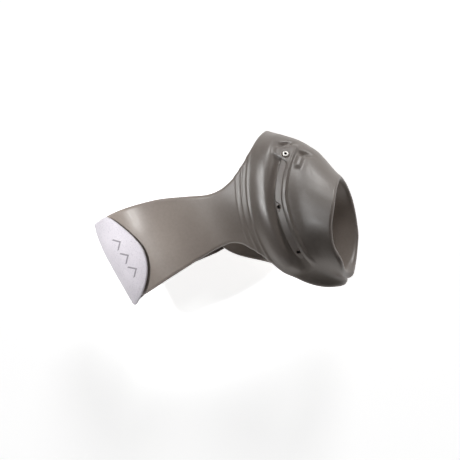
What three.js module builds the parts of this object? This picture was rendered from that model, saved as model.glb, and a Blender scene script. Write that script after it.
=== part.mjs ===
// Thumb-base splint for a left hand, closed round the palm. Millimetres.
// +X points to the fingers, +Y to the thumb side, +Z out of the palm; z = 0 is the flat outer
// face of the strap on the back of the hand.
import * as THREE from 'three';

// ---- sheet and clearance dimensions -------------------------------------------------------
const SHELL = { inner: 0.2, outer: 2.2 };          // moulded elastomer, distances off the skin
const STRAP = { inner: 3.0, outer: 4.6 };          // elastic strap round the ulnar border
const TAB = { inner: 3.85, outer: 5.2 };           // closure tab
const HOOK = { inner: 3.15, outer: 3.6 };          // hook patch under the tab
const LOOP = { inner: 2.45, outer: 2.9 };          // loop patch on the palmar band
const STAY = { inner: 1.6, outer: 2.6, width: 3.0 };
const EYELET = { bore: 0.75, radius: 1.5, seat: 2.9, top: 3.6 };
const HINGE_GAP = 0.4;                            // clearance between parts of one fabric or moulding

// ---- the hand the splint is moulded to ----------------------------------------------------
const v3 = (x, y, z) => new THREE.Vector3(x, y, z);
const PALM = { centre: v3(32, -7.5, 18), half: v3(56, 32, 12.5), round: 12 };
const ULNAR_PAD = { centre: v3(8, -25.5, 22), radii: v3(55, 16.5, 13) };
const WRIST = { centre: v3(-70, -6, 19), radii: v3(72, 28, 15) };
const THENAR = { centre: v3(5, 20.5, 28), radii: v3(31, 17, 15.5) };
const RADIAL_PAD = { centre: v3(1, 29.5, 28), radii: v3(14, 11.8, 10) };
const THUMB_BASE = v3(-13, 15.5, 21);
const THUMB_KNUCKLE = v3(25, 37, 36);
const THUMB_TIP = THUMB_KNUCKLE.clone().add(v3(0.93, 0.25, 0.25).normalize().multiplyScalar(34));
const THUMB_RADII = [13.8, 11.3, 10];

// ---- outlines of the moulding -------------------------------------------------------------
// Each station pairs a point of the thumb rim with the point of the outer edge facing it.
const NECK_PROXIMAL = [-11.5, 10.6, 41.2];
const NECK_DISTAL = [11.4, 0.5, 37.4];
const RADIAL_STATIONS = [
  [[19.4, 35.8, 50.9], NECK_PROXIMAL],
  [[16.2, 38.7, 49.3], [-14.5, 17.5, 40.7]],
  [[13, 41.8, 46], [-18, 24.7, 36.8]],
  [[10.1, 46.2, 36], [-20.5, 31.5, 26]],
  [[10.4, 46.9, 33], [-18.5, 29, 14.5]],
  [[12, 46.5, 30.5], [-14.5, 18.5, 5.5]],
  [[14.5, 46, 28.5], [-10.5, 5, 3]],
];
const WING_STATIONS = [
  [[14.5, 46, 28.5], [-10.5, 5, 3]],
  [[16.5, 45.6, 27.2], [-9, -5.5, 3]],
  [[20, 44.8, 25.7], [2, -8, 3]],
  [[24, 43.7, 24.5], [12, -5, 3]],
  [[28, 42.4, 23.9], [23, 5, 3]],
  [[32.5, 40.6, 23.9], [34, 15, 4]],
  [[37, 37, 25.4], [41.5, 22.5, 9]],
  [[39.8, 33.5, 29.5], [44.5, 27, 18.5]],
];
const WEB_STATIONS = [
  [[39.8, 33.5, 29.5], [44.5, 27, 18.5]],
  [[40.5, 31, 36], [45, 25, 29]],
  [[39, 29.5, 42], [42.5, 19, 33]],
  [[36.5, 28.5, 46], [36.7, 12.8, 34.8]],
  [[33, 28.3, 48.2], [28, 8, 36]],
  [[29.5, 29.1, 49.7], [18, 4, 37.4]],
  [[26.4, 30.6, 50.8], NECK_DISTAL],
];
const NECK_STATIONS = [
  [[26.4, 30.6, 50.8], NECK_DISTAL],
  [[22.7, 32.9, 51.3], [-0.05, 5.55, 39.3]],
  [[19.4, 35.8, 50.9], NECK_PROXIMAL],
];
const NECK_AWAY = v3(-0.4, -0.9, 0);                // from the cuff into the band
const BAND_PROXIMAL = [
  NECK_PROXIMAL, [-10.7, 4.8, 39.7], [-11.6, -0.8, 37.8], [-15.4, -7.7, 36.2],
  [-20.1, -16.2, 35.9], [-23.4, -25.6, 35.8], [-25.3, -33, 33.8], [-26, -39.5, 27],
];
const BAND_DISTAL = [
  NECK_DISTAL, [8.8, -2.8, 36.4], [7.6, -8, 35.4], [7.4, -14.6, 36.4],
  [7.4, -22, 37.5], [7.4, -29, 37.6], [7.5, -37, 34.5], [7.6, -43, 27.5],
];

// ---- relief of the thumb cuff: bands counted along the thumb from the wrist -----------------
const THUMBWARD = v3(0.34, 0.85, 0.4);
const BAND_BOW = 0.0045;
const BAND_BOW_X = 6;
const LIP = { at: 32.7, width: 2.3, height: 1.1 };
const CHANNEL = { from: 35.2, to: 42, depth: 0.9, ease: 1.1 };
const GROOVE = { at: 44.2, width: 1.1, height: -0.55 };
const RIBS = [26.2, 23.8, 21.6].map((at) => ({ at, width: 0.9, height: 0.3 }));
const STAY_PATH = [
  [-9.8, 35, 35], [-6.9, 32, 38.8], [-2.2, 26.5, 44.5], [4.7, 21.2, 47.4],
  [12, 18.7, 47.6], [20.3, 17.1, 46.3], [28, 17, 42.4],
];
const EYELETS = {
  radial: [-6.9, 32, 38.8],
  middle: [7.2, 20.1, 47.7],
  palmar: [25.2, 17, 44],
};

// ---- strap and tab --------------------------------------------------------------------------
const ULNAR_AXIS = { y: -28, z: 21 };              // centre the strap bends round
const STRAP_FOLD = { y: -28, from: -19, to: 6 };   // where the flat run ends
const CREASE = [v3(-25.5, -44.4, 18), v3(8.5, -48.4, 18)];
const CREASE_ANGLE = -9;
// Rounded flaps: degrees reached round the ulnar border at each side and in the middle.
const TAB_REACH = { proximal: 46, distal: 10, tip: 79.5, power: 1.8 };
const HOOK_REACH = { from: -22, to: 4, start: 24, proximal: 30, distal: 30, tip: 64, power: 2.2 };
const LOOP_REACH = { from: -23, to: 4, start: 31, proximal: 38, distal: 38, tip: 66, power: 2.2 };
const DORSAL_RUN = [[-19, -28], [-11.5, -10], [-9.5, 14], [10.5, 14], [9, -10], [6, -28]];

// ---- small helpers --------------------------------------------------------------------------
const toVector = (a) => (a.isVector3 ? a.clone() : v3(...a));
const lerp = (a, b, t) => a + (b - a) * t;

function smoothstep(from, to, x) {
  const t = Math.min(Math.max((x - from) / (to - from), 0), 1);
  return t * t * (3 - 2 * t);
}

// ---- distance off the skin --------------------------------------------------------------------
function smoothUnion(distances, radius) {
  const nearest = Math.min(...distances);
  const sum = distances.reduce((s, d) => s + Math.exp((nearest - d) / radius), 0);
  return nearest - radius * Math.log(sum);
}

function roundedBox(p, box) {
  const q = [0, 1, 2].map((i) => {
    const half = box.half.getComponent(i) - box.round;
    return Math.abs(p.getComponent(i) - box.centre.getComponent(i)) - half;
  });
  const outside = Math.hypot(...q.map((d) => Math.max(d, 0)));
  return outside + Math.min(Math.max(...q), 0) - box.round;
}

function ellipsoid(local, radii) {
  const scaled = Math.hypot(local.x / radii.x, local.y / radii.y, local.z / radii.z);
  const slope = Math.hypot(local.x / radii.x ** 2, local.y / radii.y ** 2, local.z / radii.z ** 2);
  return (scaled * (scaled - 1)) / (slope + 1e-9);
}

function taperedCapsule(p, a, b, radiusA, radiusB) {
  const axis = b.clone().sub(a);
  const offset = p.clone().sub(a);
  const t = Math.min(Math.max(offset.dot(axis) / axis.lengthSq(), 0), 1);
  return offset.addScaledVector(axis, -t).length() - lerp(radiusA, radiusB, t);
}

const THENAR_ALONG = THUMB_KNUCKLE.clone().sub(THUMB_BASE).normalize();
const THENAR_ACROSS = v3(0, 0, 1).cross(THENAR_ALONG).normalize();
const THENAR_UP = THENAR_ALONG.clone().cross(THENAR_ACROSS);

function offSkin(p) {
  const inThenar = p.clone().sub(THENAR.centre);
  const turned = v3(
    inThenar.dot(THENAR_ALONG), inThenar.dot(THENAR_ACROSS), inThenar.dot(THENAR_UP));
  const hand = smoothUnion([
    roundedBox(p, PALM),
    ellipsoid(p.clone().sub(ULNAR_PAD.centre), ULNAR_PAD.radii),
    ellipsoid(p.clone().sub(WRIST.centre), WRIST.radii),
  ], 3);
  const thumb = smoothUnion([
    ellipsoid(turned, THENAR.radii),
    ellipsoid(p.clone().sub(RADIAL_PAD.centre), RADIAL_PAD.radii),
    taperedCapsule(p, THUMB_BASE, THUMB_KNUCKLE, THUMB_RADII[0], THUMB_RADII[1]),
    taperedCapsule(p, THUMB_KNUCKLE, THUMB_TIP, THUMB_RADII[1], THUMB_RADII[2]),
  ], 2.5);
  return smoothUnion([hand, thumb], lerp(2.5, 6, smoothstep(10, 26, p.z)));
}

function gradient(p) {
  const step = 0.05;
  const slope = (axis) => (
    offSkin(p.clone().addScaledVector(axis, step)) - offSkin(p.clone().addScaledVector(axis, -step))
  ) / (2 * step);
  return v3(slope(v3(1, 0, 0)), slope(v3(0, 1, 0)), slope(v3(0, 0, 1)));
}

function toLevel(point, level, steps = 4) {
  const p = point.clone();
  for (let i = 0; i < steps; i += 1) {
    const g = gradient(p);
    p.addScaledVector(g, (level - offSkin(p)) / (g.lengthSq() + 1e-9));
  }
  return p;
}

// ---- laying lines and sheets on the hand ------------------------------------------------------
// Rows of points, each found from its place along and across the piece, 0 to 1.
function gridOf(rows, columns, pointAt) {
  return Array.from({ length: rows + 1 }, (_, i) => (
    Array.from({ length: columns + 1 }, (__, j) => pointAt(i / rows, j / columns))));
}

// Shortest line over the hand between two points, evenly divided.
function lineOnHand(from, to, divisions, level) {
  const out = gradient(from).add(gradient(to)).normalize();
  let line = [];
  for (let i = 0; i <= divisions; i += 1) {
    const t = i / divisions;
    const p = from.clone().lerp(to, t).addScaledVector(out, 40 * t * (1 - t));
    line.push(toLevel(p, level, 5));
  }
  for (let pass = 0; pass < 60; pass += 1) {
    line = line.map((p, i) => {
      if (i === 0 || i === divisions) return p;
      return toLevel(line[i - 1].clone().add(line[i + 1]).multiplyScalar(0.5), level, 1);
    });
  }
  return line;
}

// Rim and edge points of every row across a run of stations.
function stationRows(stations, rowsPerStation) {
  const rim = new THREE.CatmullRomCurve3(stations.map((s) => toVector(s[0])));
  const edge = new THREE.CatmullRomCurve3(stations.map((s) => toVector(s[1])));
  const count = (stations.length - 1) * rowsPerStation;
  return Array.from({ length: count }, (_, i) => [rim.getPoint(i / count), edge.getPoint(i / count)]);
}

// Closed solid between two grids of points; rows may run round in a ring.
function sheetSolid(inner, outer, ring = false) {
  const rows = outer.length;
  const cols = outer[0].length;
  const positions = [...outer.flat(), ...inner.flat()].flatMap((p) => p.toArray());
  const out = (i, j) => (i % rows) * cols + j;
  const inn = (i, j) => rows * cols + out(i, j);
  const index = [];
  const quad = (a, b, c, d) => index.push(a, b, c, a, c, d);
  const lastRow = ring ? rows : rows - 1;
  const lastCol = cols - 1;
  for (let i = 0; i < lastRow; i += 1) {
    for (let j = 0; j < lastCol; j += 1) {
      quad(out(i, j), out(i + 1, j), out(i + 1, j + 1), out(i, j + 1));
      quad(inn(i, j), inn(i, j + 1), inn(i + 1, j + 1), inn(i + 1, j));
    }
    quad(out(i + 1, 0), out(i, 0), inn(i, 0), inn(i + 1, 0));
    quad(out(i, lastCol), out(i + 1, lastCol), inn(i + 1, lastCol), inn(i, lastCol));
  }
  for (let j = 0; j < lastCol && !ring; j += 1) {
    quad(out(0, j), out(0, j + 1), inn(0, j + 1), inn(0, j));
    quad(out(lastRow, j + 1), out(lastRow, j), inn(lastRow, j), inn(lastRow, j + 1));
  }
  const geometry = new THREE.BufferGeometry();
  geometry.setAttribute('position', new THREE.Float32BufferAttribute(positions, 3));
  geometry.setIndex(signedVolume(positions, index) < 0 ? index.slice().reverse() : index);
  geometry.computeVertexNormals();
  return geometry;
}

function signedVolume(positions, index) {
  const corner = (k) => v3().fromArray(positions, 3 * index[k]);
  let volume = 0;
  for (let k = 0; k < index.length; k += 3) {
    volume += corner(k).dot(corner(k + 1).cross(corner(k + 2))) / 6;
  }
  return volume;
}

// Both faces of a sheet lifted from one grid, its free border thinned to a soft edge.
function clothe(grid, sheet, ring = false, relief = () => 0, isBorder = () => false) {
  const middle = (sheet.inner + sheet.outer) / 2;
  const lift = (level, raise) => grid.map((row, i) => row.map((p, j) => {
    const full = level + raise(p);
    return toLevel(p, isBorder(i, j) ? lerp(full, middle, 0.4) : full, 3);
  }));
  return sheetSolid(lift(sheet.inner, () => 0), lift(sheet.outer, relief), ring);
}

// Sheet whose faces are each found point by point at their own level off the skin.
function sheetBetween(sheet, rows, columns, pointAt) {
  const face = (level) => gridOf(rows, columns, (u, across) => pointAt(u, across, level));
  return sheetSolid(face(sheet.inner), face(sheet.outer));
}

// ---- thumb cuff -------------------------------------------------------------------------------
function alongThumb(p) {
  return p.dot(THUMBWARD) - BAND_BOW * (p.x - BAND_BOW_X) ** 2;
}

function bump(x, { at, width, height }) {
  return height * Math.exp(-(((x - at) / width) ** 2));
}

// Raised lip, sunk channel for the stay, groove beyond it and three fine ribs.
function cuffRelief(p) {
  const w = alongThumb(p);
  const channel = smoothstep(CHANNEL.from - CHANNEL.ease, CHANNEL.from + CHANNEL.ease, w)
    - smoothstep(CHANNEL.to - CHANNEL.ease, CHANNEL.to + CHANNEL.ease, w);
  const ribs = RIBS.reduce((sum, rib) => sum + bump(w, rib), 0);
  const profile = bump(w, LIP) + bump(w, GROOVE) + ribs - CHANNEL.depth * channel;
  return profile * smoothstep(21, 31, p.z) * (1 - smoothstep(28, 34, p.x));
}

function buildCuff(columns) {
  const middle = (SHELL.inner + SHELL.outer) / 2;
  const neckRows = stationRows(NECK_STATIONS, 6);
  const freeRows = [
    ...stationRows(RADIAL_STATIONS, 4),
    ...stationRows(WING_STATIONS, 3),
    ...stationRows(WEB_STATIONS, 4),
  ];
  const grid = [...freeRows, ...neckRows].map(([rim, edge]) => {
    const line = lineOnHand(toLevel(rim, middle), toLevel(edge, middle), 14, middle);
    const spline = new THREE.CatmullRomCurve3(line, false, 'centripetal');
    return spline.getSpacedPoints(columns).map((p) => toLevel(p, middle, 2));
  });
  const isFreeEdge = (i, j) => j === columns && i > 0 && i < freeRows.length;
  return clothe(grid, SHELL, true, cuffRelief, (i, j) => j === 0 || isFreeEdge(i, j));
}

// ---- palmar band --------------------------------------------------------------------------------
function buildBand(rows, columns) {
  const middle = (SHELL.inner + SHELL.outer) / 2;
  const proximal = new THREE.CatmullRomCurve3(BAND_PROXIMAL.map(toVector));
  const distal = new THREE.CatmullRomCurve3(BAND_DISTAL.map(toVector));
  const grid = gridOf(rows, columns, (u, across) => {
    const p = proximal.getPoint(u).lerp(distal.getPoint(u), across);
    if (u === 0) p.addScaledVector(NECK_AWAY, HINGE_GAP);
    return toLevel(p, middle);
  });
  const isBorder = (i, j) => i > 0 && (j === 0 || j === columns || i === rows);
  return clothe(grid, SHELL, false, () => 0, isBorder);
}

// ---- stay and eyelets ---------------------------------------------------------------------------
function buildStay(rows) {
  const path = new THREE.CatmullRomCurve3(STAY_PATH.map(toVector));
  const grid = gridOf(rows, 4, (u, across) => {
    const roundEnd = Math.sqrt(Math.max(0.12, 1 - Math.abs(2 * u - 1) ** 16));
    const centre = path.getPointAt(u);
    const side = path.getTangentAt(u).cross(gradient(centre)).normalize();
    return centre.addScaledVector(side, (across - 0.5) * roundEnd * STAY.width);
  });
  return clothe(grid, STAY);
}

function buildEyelet(at) {
  const seat = toLevel(toVector(at), EYELET.seat);
  const height = EYELET.top - EYELET.seat;
  const profile = [
    [EYELET.bore, 0], [EYELET.radius, 0], [EYELET.radius, height * 0.4],
    [EYELET.radius - 0.3, height], [EYELET.bore + 0.15, height], [EYELET.bore, height * 0.7],
    [EYELET.bore, 0],
  ];
  const ring = new THREE.LatheGeometry(profile.map((p) => new THREE.Vector2(...p)), 28);
  const turn = new THREE.Quaternion().setFromUnitVectors(v3(0, 1, 0), gradient(seat).normalize());
  return ring.applyQuaternion(turn).translate(seat.x, seat.y, seat.z);
}

// ---- strap, tab and patches -----------------------------------------------------------------------
// Point at one level off the skin, found outwards from the axis inside the ulnar border.
function roundUlnarBorder(x, degrees, level) {
  const angle = THREE.MathUtils.degToRad(degrees);
  const direction = v3(0, -Math.cos(angle), Math.sin(angle));
  const reached = (reach) => v3(x, ULNAR_AXIS.y, ULNAR_AXIS.z).addScaledVector(direction, reach);
  let near = 5;
  let far = 45;
  for (let i = 0; i < 30; i += 1) {
    const half = (near + far) / 2;
    if (offSkin(reached(half)) < level) near = half;
    else far = half;
  }
  return reached(near);
}

function creasePoint(across, depth, z) {
  const p = CREASE[0].clone().lerp(CREASE[1], across);
  return v3(p.x, p.y + depth, z);
}

// The strap leaves the flat run at its fold and ends just short of the straight crease.
function strapPoint(u, across, level) {
  const depth = STRAP.outer - level;
  const foldX = lerp(STRAP_FOLD.from, STRAP_FOLD.to, across);
  const creaseX = lerp(CREASE[0].x, CREASE[1].x, across);
  const p = roundUlnarBorder(lerp(foldX, creaseX, u), lerp(-90, CREASE_ANGLE, u), level);
  p.z = lerp(depth, p.z, smoothstep(0, 0.3, u));
  const end = creasePoint(across, depth, CREASE[0].z - HINGE_GAP);
  return p.lerp(end, smoothstep(0.6, 1, u));
}

// How far round the border a rounded flap reaches, in degrees, at one place across it.
function archedReach(across, { proximal, distal, tip, power }) {
  const arch = Math.sqrt(Math.max(0, 1 - Math.abs(2 * across - 1) ** power));
  return lerp(lerp(proximal, distal, across), tip, arch);
}

function tabPoint(u, across, level) {
  const degrees = lerp(CREASE_ANGLE, archedReach(across, TAB_REACH), u);
  const p = roundUlnarBorder(lerp(CREASE[0].x, CREASE[1].x, across), degrees, level);
  const lifted = 1 - smoothstep(CREASE_ANGLE, CREASE_ANGLE + 24, degrees);
  return p.lerp(creasePoint(across, (TAB.outer - level) * 0.9, p.z), lifted);
}

function buildPatch(sheet, reach) {
  return sheetBetween(sheet, 10, 10, (u, across, level) => (
    roundUlnarBorder(
      lerp(reach.from, reach.to, across), lerp(reach.start, archedReach(across, reach), u), level)));
}

function buildDorsalRun() {
  const outline = new THREE.Shape(DORSAL_RUN.map(([x, y]) => (
    new THREE.Vector2(x, y === STRAP_FOLD.y ? y + HINGE_GAP : y))));
  const depth = STRAP.outer - STRAP.inner;
  return new THREE.ExtrudeGeometry(outline, { depth, bevelEnabled: false });
}

// ---- assembly ---------------------------------------------------------------------------------------
const elastomer = new THREE.MeshStandardMaterial({ color: 0x83776f, roughness: 0.55 });
const aluminium = new THREE.MeshStandardMaterial({ color: 0xb9b4ae, roughness: 0.4, metalness: 0.9 });
const loopFabric = new THREE.MeshStandardMaterial({ color: 0x6f655f, roughness: 0.95 });
const whiteFabric = new THREE.MeshStandardMaterial({ color: 0xe2dde2, roughness: 0.85 });
const hookTape = new THREE.MeshStandardMaterial({ color: 0xcfccd0, roughness: 0.7 });
const elasticWeb = new THREE.MeshStandardMaterial({ color: 0x8d837c, roughness: 0.9 });

const assembly = new THREE.Group();

function add(name, geometry, material) {
  const mesh = new THREE.Mesh(geometry, material);
  mesh.name = name;
  assembly.add(mesh);
}

add('thumb_cuff', buildCuff(28), elastomer);
add('palmar_band', buildBand(20, 12), elastomer);
add('malleable_stay', buildStay(36), aluminium);
Object.entries(EYELETS).forEach(([place, at]) => {
  add(`stay_eyelet_${place}`, buildEyelet(at), aluminium);
});
add('loop_patch', buildPatch(LOOP, LOOP_REACH), loopFabric);
add('hook_patch', buildPatch(HOOK, HOOK_REACH), hookTape);
add('closure_tab', sheetBetween(TAB, 18, 18, tabPoint), whiteFabric);
add('strap_ulnar_run', sheetBetween(STRAP, 16, 8, strapPoint), elasticWeb);
add('strap_dorsal_run', buildDorsalRun(), elasticWeb);

export default assembly;
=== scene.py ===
"""Looks of the thumb-base splint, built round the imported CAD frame. Shapes are in millimetres."""

import math

import bmesh
import bpy
import numpy as np
from mathutils import Matrix, Vector


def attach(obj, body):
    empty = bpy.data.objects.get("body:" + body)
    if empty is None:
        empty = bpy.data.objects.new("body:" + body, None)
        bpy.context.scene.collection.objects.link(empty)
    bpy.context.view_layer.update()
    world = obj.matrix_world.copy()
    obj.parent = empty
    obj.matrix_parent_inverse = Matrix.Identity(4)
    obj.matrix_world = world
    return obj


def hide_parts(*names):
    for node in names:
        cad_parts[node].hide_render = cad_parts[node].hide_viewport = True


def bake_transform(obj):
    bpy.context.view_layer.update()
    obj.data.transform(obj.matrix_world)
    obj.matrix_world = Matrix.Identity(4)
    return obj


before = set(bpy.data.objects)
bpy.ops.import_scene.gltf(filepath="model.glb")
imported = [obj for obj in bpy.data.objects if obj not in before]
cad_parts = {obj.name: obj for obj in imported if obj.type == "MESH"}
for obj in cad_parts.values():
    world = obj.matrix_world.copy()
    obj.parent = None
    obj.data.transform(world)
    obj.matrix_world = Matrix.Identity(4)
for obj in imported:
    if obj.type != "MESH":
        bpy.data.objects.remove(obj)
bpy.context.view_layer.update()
MM = 0.001

# ---- the hand the splint is moulded to -------------------------------------------------------
PALM = ((32, -7.5, 18), (56, 32, 12.5), 12.0)
ULNAR_PAD = ((8, -25.5, 22), (55, 16.5, 13))
WRIST = ((-70, -6, 19), (72, 28, 15))
THENAR = ((5, 20.5, 28), (31, 17, 15.5))
RADIAL_PAD = ((1, 29.5, 28), (14, 11.8, 10))
THUMB_BASE = np.array([-13, 15.5, 21.0])
THUMB_KNUCKLE = np.array([25, 37, 36.0])
THUMB_RADII = (13.8, 11.3, 10.0)

SHELL_IN, SHELL_OUT = 0.2, 2.2  # levels off the skin
SHELL_MID = (SHELL_IN + SHELL_OUT) / 2
SHELL_HALF = (SHELL_OUT - SHELL_IN) / 2
STRAP_IN, STRAP_OUT = 3.0, 4.6
TAB_IN, TAB_OUT = 3.3, 4.75

NECK_PROXIMAL = (-11.5, 10.6, 41.2)
NECK_DISTAL = (11.4, 0.5, 37.4)
STATIONS = [  # thumb rim point, outer edge point, rows up to the next station
    ((19.4, 35.8, 50.9), NECK_PROXIMAL, 16),
    ((16.2, 38.7, 49.3), (-14.5, 17.5, 40.7), 18),
    ((13, 41.8, 46), (-18, 24.7, 36.8), 26),
    ((10.1, 46.2, 36), (-20.5, 31.5, 26), 24),
    ((10.4, 46.9, 33), (-18.5, 29, 14.5), 24),
    ((12, 46.5, 30.5), (-14.5, 18.5, 5.5), 20),
    ((14.5, 46, 28.5), (-10.5, 5, 3), 18),
    ((16.5, 45.6, 27.2), (-9, -5.5, 3), 18),
    ((20, 44.8, 25.7), (2, -8, 3), 18),
    ((24, 43.7, 24.5), (12, -5, 3), 20),
    ((28, 42.4, 23.9), (23, 5, 3), 20),
    ((32.5, 40.6, 23.9), (34, 15, 4), 18),
    ((37, 37, 25.4), (41.5, 22.5, 9), 18),
    ((39.8, 33.5, 29.5), (44.5, 27, 18.5), 18),
    ((40.5, 31, 36), (45, 25, 29), 18),
    ((39, 29.5, 42), (42.5, 19, 33), 16),
    ((36.5, 28.5, 46), (36.7, 12.8, 34.8), 18),
    ((33, 28.3, 48.2), (28, 8, 36), 20),
    ((29.5, 29.1, 49.7), (18, 4, 37.4), 16),
    ((26.4, 30.6, 50.8), NECK_DISTAL, 64),
]
NECK_RIM = (22.7, 32.9, 51.3)
BAND_PROXIMAL = [
    NECK_PROXIMAL, (-10.7, 4.8, 39.7), (-11.6, -0.8, 37.8), (-15.4, -7.7, 36.2),
    (-20.1, -16.2, 35.9), (-23.4, -25.6, 35.8), (-25.3, -33, 33.8), (-26, -39.5, 27),
]
BAND_DISTAL = [
    NECK_DISTAL, (8.8, -2.8, 36.4), (7.6, -8, 35.4), (7.4, -14.6, 36.4),
    (7.4, -22, 37.5), (7.4, -29, 37.6), (7.5, -37, 34.5), (7.6, -43, 27.5),
]
STAY_PATH = [
    (-9.8, 35, 35), (-6.9, 32, 38.8), (-2.2, 26.5, 44.5), (4.7, 21.2, 47.4),
    (12, 18.7, 47.6), (20.3, 17.1, 46.3), (28, 17, 42.4),
]
EYELETS = {"radial": (-7.2, 31.6, 38.8), "middle": (6.9, 19.7, 47.7), "palmar": (25.2, 17, 44)}

ULNAR_AXIS = (-28, 21)  # y and z of the axis that strap, tab and patches go round
FOLD_Y, FOLD_LEFT, FOLD_RIGHT = -28, -19, 6  # where the strap leaves the back of the hand
RUN_LENGTH = 42  # flat strap run on the back of the hand, along y
DORSAL_LEFT = [(FOLD_Y, FOLD_LEFT), (-10, -11.5), (14, -9.5)]  # y and x of its two borders
DORSAL_RIGHT = [(FOLD_Y, FOLD_RIGHT), (-10, 9), (14, 10.5)]
CREASE_Z = 18
CREASE = ((-25.5, -44.4, CREASE_Z), (8.5, -48.4, CREASE_Z))  # seam between strap and tab
CREASE_ANGLE = -9
FLAP_LIFT = 5.2  # level from which the tab's thickness is counted at the seam
TAB_REACH = (43, 5, 74.5, 1.75)  # degrees round the border at both sides and at the tip, power
HOOK_REACH = (30, 30, 64, 2.2)
LOOP_REACH = (38, 38, 66, 2.2)


# ---- distance off the skin -------------------------------------------------------------------
def unit(v):
    v = np.asarray(v, float)
    return v / (np.linalg.norm(v, axis=-1, keepdims=True) + 1e-12)


def smoothstep(a, b, x):
    t = np.clip((np.asarray(x, float) - a) / (b - a), 0, 1)
    return t * t * (3 - 2 * t)


def smooth_union(distances, k):
    d = np.stack(distances, -1)
    near = d.min(-1)
    return near - k * np.log(np.exp((near[..., None] - d) / k).sum(-1))


def rounded_box(p, box):
    centre, half, radius = box
    q = np.abs(p - np.array(centre)) - (np.array(half) - radius)
    return np.linalg.norm(np.maximum(q, 0), axis=-1) + np.minimum(q.max(-1), 0) - radius


def ellipsoid(q, radii):
    r = np.array(radii, float)
    scaled = np.linalg.norm(q / r, axis=-1)
    slope = np.linalg.norm(q / (r * r), axis=-1) + 1e-9
    return scaled * (scaled - 1) / slope


def tapered_capsule(p, a, b, ra, rb):
    axis = b - a
    t = np.clip(((p - a) @ axis) / (axis @ axis), 0, 1)
    return np.linalg.norm(p - a - t[..., None] * axis, axis=-1) - (ra + (rb - ra) * t)


ALONG = unit(THUMB_KNUCKLE - THUMB_BASE)
ACROSS = unit(np.cross((0, 0, 1), ALONG))
THENAR_AXES = np.array([ALONG, ACROSS, np.cross(ALONG, ACROSS)])
THUMB_TIP = THUMB_KNUCKLE + 34 * unit((0.93, 0.25, 0.25))


def off_skin(p):
    hand = smooth_union([
        rounded_box(p, PALM),
        ellipsoid(p - np.array(ULNAR_PAD[0]), ULNAR_PAD[1]),
        ellipsoid(p - np.array(WRIST[0]), WRIST[1]),
    ], 3.0)
    thumb = smooth_union([
        ellipsoid((p - np.array(THENAR[0])) @ THENAR_AXES.T, THENAR[1]),
        ellipsoid(p - np.array(RADIAL_PAD[0]), RADIAL_PAD[1]),
        tapered_capsule(p, THUMB_BASE, THUMB_KNUCKLE, THUMB_RADII[0], THUMB_RADII[1]),
        tapered_capsule(p, THUMB_KNUCKLE, THUMB_TIP, THUMB_RADII[1], THUMB_RADII[2]),
    ], 2.5)
    k = 2.5 + 3.5 * smoothstep(10, 26, p[..., 2])
    near = np.minimum(hand, thumb)
    return near - k * np.log(np.exp((near - hand) / k) + np.exp((near - thumb) / k))


def gradient(p, h=0.05):
    g = np.zeros_like(p)
    for i in range(3):
        e = np.zeros(3)
        e[i] = h
        g[..., i] = (off_skin(p + e) - off_skin(p - e)) / (2 * h)
    return g


def to_level(p, level, steps=3):
    p = np.array(p, float)
    for _ in range(steps):
        g = gradient(p)
        p = p + ((level - off_skin(p)) / ((g * g).sum(-1) + 1e-9))[..., None] * g
    return p


# ---- curves ----------------------------------------------------------------------------------
def catmull(points, u, closed=False):
    """Centripetal Catmull-Rom curve at u, in station numbers."""
    pts = np.asarray(points, float)
    n = len(pts)
    u = np.atleast_1d(np.asarray(u, float))
    i = np.floor(u).astype(int)
    if closed:
        w = u - i
        p0, p1, p2, p3 = (pts[(i + k) % n] for k in (-1, 0, 1, 2))
    else:
        i = np.clip(i, 0, n - 2)
        w = u - i
        padded = np.vstack([2 * pts[0] - pts[1], pts, 2 * pts[-1] - pts[-2]])
        p0, p1, p2, p3 = (padded[i + k] for k in (0, 1, 2, 3))
    d0, d1, d2 = (np.maximum(np.linalg.norm(b - a, axis=-1, keepdims=True), 1e-8) ** 0.5
                  for a, b in ((p0, p1), (p1, p2), (p2, p3)))
    t1 = ((p1 - p0) / d0 - (p2 - p0) / (d0 + d1) + (p2 - p1) / d1) * d1
    t2 = ((p2 - p1) / d1 - (p3 - p1) / (d1 + d2) + (p3 - p2) / d2) * d1
    w = w[:, None]
    return (p1 + t1 * w + (-3 * p1 + 3 * p2 - 2 * t1 - t2) * w ** 2
            + (2 * p1 - 2 * p2 + t1 + t2) * w ** 3)


def respace(line, places):
    """Points of a polyline at shares (0 to 1) of its length."""
    step = np.linalg.norm(np.diff(line, axis=0), axis=1)
    at = np.concatenate([[0], np.cumsum(step)]) / step.sum()
    return np.stack([np.interp(places, at, line[:, k]) for k in range(3)], -1)


def loop_outward(loop, inside):
    """Unit vectors that lie in the sheet and point away from inside, across a closed border."""
    tangent = unit(np.roll(loop, -1, 0) - np.roll(loop, 1, 0))
    out = unit(np.cross(tangent, unit(gradient(loop))))
    return out * np.sign(((loop - inside) * out).sum())


def smooth_loop(points, passes):
    for _ in range(passes):
        points = (np.roll(points, 1, 0) + 2 * points + np.roll(points, -1, 0)) / 4
    return points


def line_between(a, b, cells, level):
    return to_level(a + (b - a) * np.linspace(0, 1, cells + 1)[:, None], level)


def geodesics(starts, ends, cells, level):
    """Shortest lines over the hand from each start to its end."""
    first_height, passes = 40, 70
    out = unit(gradient(starts) + gradient(ends))
    t = np.linspace(0, 1, cells + 1)[None, :, None]
    lines = starts[:, None] * (1 - t) + ends[:, None] * t + out[:, None] * first_height * t * (1 - t)
    lines = to_level(lines, level, 5)
    lines[:, 0], lines[:, -1] = starts, ends
    for _ in range(passes):
        lines[:, 1:-1] = to_level((lines[:, :-2] + lines[:, 2:]) / 2, level, 1)
    return lines


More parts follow.
